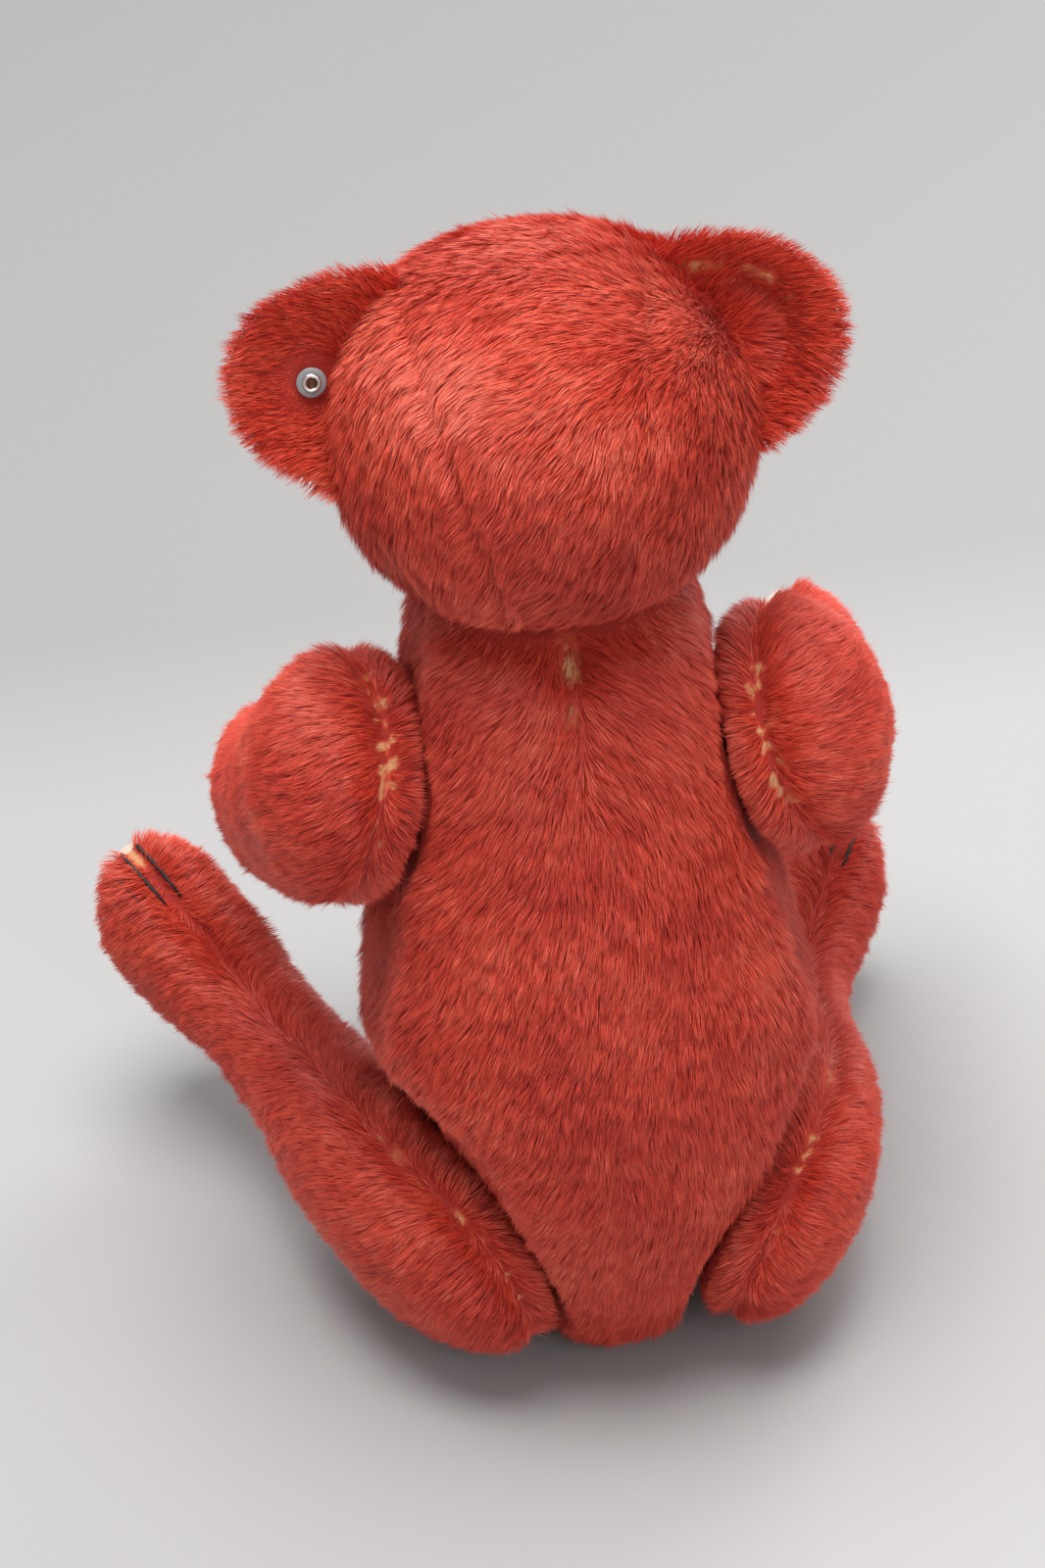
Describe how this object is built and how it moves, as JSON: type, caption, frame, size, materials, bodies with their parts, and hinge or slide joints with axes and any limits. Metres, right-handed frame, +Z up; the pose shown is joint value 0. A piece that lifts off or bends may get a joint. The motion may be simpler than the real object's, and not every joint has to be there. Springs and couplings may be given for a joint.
{
  "type": "jointed teddy bear",
  "caption": "Jointed mohair teddy bear, seated, with a turning head, swinging arms and legs, felt paw and foot pads, stitched nose and claws, and a plain metal button in one ear.",
  "frame": {"origin": "on the floor, at the centre of the flat seat facet under the torso", "axes": "-Y the way the bear faces, +X to the bear's left, +Z up"},
  "size_m": [0.2032, 0.1844, 0.2851],
  "materials": {
    "mohair_red": "long glossy pile on a woven backing",
    "felt_cream": "matte felt",
    "stuffing": "loose packed fibre",
    "hardboard": "matte",
    "steel": "satin",
    "glass_eye": "polished, black",
    "thread_black": "matte thread",
    "button_metal": "satin",
    "washer_plastic": "translucent grey"
  },
  "bodies": {
    "torso": {"torso_left_panel": "mohair_red", "torso_right_panel": "mohair_red", "torso_stuffing": "stuffing", "torso_neck_disc": "hardboard", "torso_neck_washer": "steel", "torso_left_shoulder_disc": "hardboard", "torso_left_shoulder_washer": "steel", "torso_left_hip_disc": "hardboard", "torso_left_hip_washer": "steel", "torso_right_shoulder_disc": "hardboard", "torso_right_shoulder_washer": "steel", "torso_right_hip_disc": "hardboard", "torso_right_hip_washer": "steel"},
    "head": {"head_left_side": "mohair_red", "head_right_side": "mohair_red", "head_gusset": "mohair_red", "head_stuffing": "stuffing", "left_ear_front": "mohair_red", "left_ear_back": "mohair_red", "right_ear_front": "mohair_red", "right_ear_back": "mohair_red", "left_eye": "glass_eye", "right_eye": "glass_eye", "nose_stitching": "thread_black", "mouth_stitching": "thread_black", "ear_button": "button_metal", "ear_button_washer": "washer_plastic", "head_neck_disc": "hardboard", "head_neck_washer": "steel", "neck_cotter_pin": "steel"},
    "left_arm": {"left_arm_outer_panel": "mohair_red", "left_arm_inner_panel": "mohair_red", "left_arm_paw_pad": "felt_cream", "left_arm_stuffing": "stuffing", "left_arm_disc": "hardboard", "left_arm_washer": "steel", "left_arm_cotter_pin": "steel"},
    "right_arm": {"right_arm_outer_panel": "mohair_red", "right_arm_inner_panel": "mohair_red", "right_arm_paw_pad": "felt_cream", "right_arm_stuffing": "stuffing", "right_arm_disc": "hardboard", "right_arm_washer": "steel", "right_arm_cotter_pin": "steel"},
    "left_leg": {"left_leg_outer_panel": "mohair_red", "left_leg_inner_panel": "mohair_red", "left_leg_foot_pad": "felt_cream", "left_leg_stuffing": "stuffing", "left_leg_disc": "hardboard", "left_leg_washer": "steel", "left_leg_cotter_pin": "steel", "left_foot_claws": "thread_black"},
    "right_leg": {"right_leg_outer_panel": "mohair_red", "right_leg_inner_panel": "mohair_red", "right_leg_foot_pad": "felt_cream", "right_leg_stuffing": "stuffing", "right_leg_disc": "hardboard", "right_leg_washer": "steel", "right_leg_cotter_pin": "steel", "right_foot_claws": "thread_black"}
  },
  "joints": [
    {"name": "neck_turn", "type": "hinge", "parent": "torso", "child": "head", "pos_m": [0, 0, 0.2088], "axis": [0, 0, 1], "range_deg": [-90, 90]},
    {"name": "left_shoulder", "type": "hinge", "parent": "torso", "child": "left_arm", "pos_m": [0.0376, 0.003, 0.1585], "axis": [0.9792, 0.0685, 0.1908], "range_deg": [-75, 5]},
    {"name": "right_shoulder", "type": "hinge", "parent": "torso", "child": "right_arm", "pos_m": [-0.0376, 0.003, 0.1585], "axis": [-0.9792, 0.0685, 0.1908], "range_deg": [-15, 62]},
    {"name": "left_hip", "type": "hinge", "parent": "torso", "child": "left_leg", "pos_m": [0.03, 0.006, 0.0395], "axis": [0.8729, 0.3705, -0.3173], "range_deg": [-10, 65]},
    {"name": "right_hip", "type": "hinge", "parent": "torso", "child": "right_leg", "pos_m": [-0.03, 0.006, 0.0395], "axis": [-0.8878, 0.1822, -0.4226], "range_deg": [-65, 10]}
  ]
}
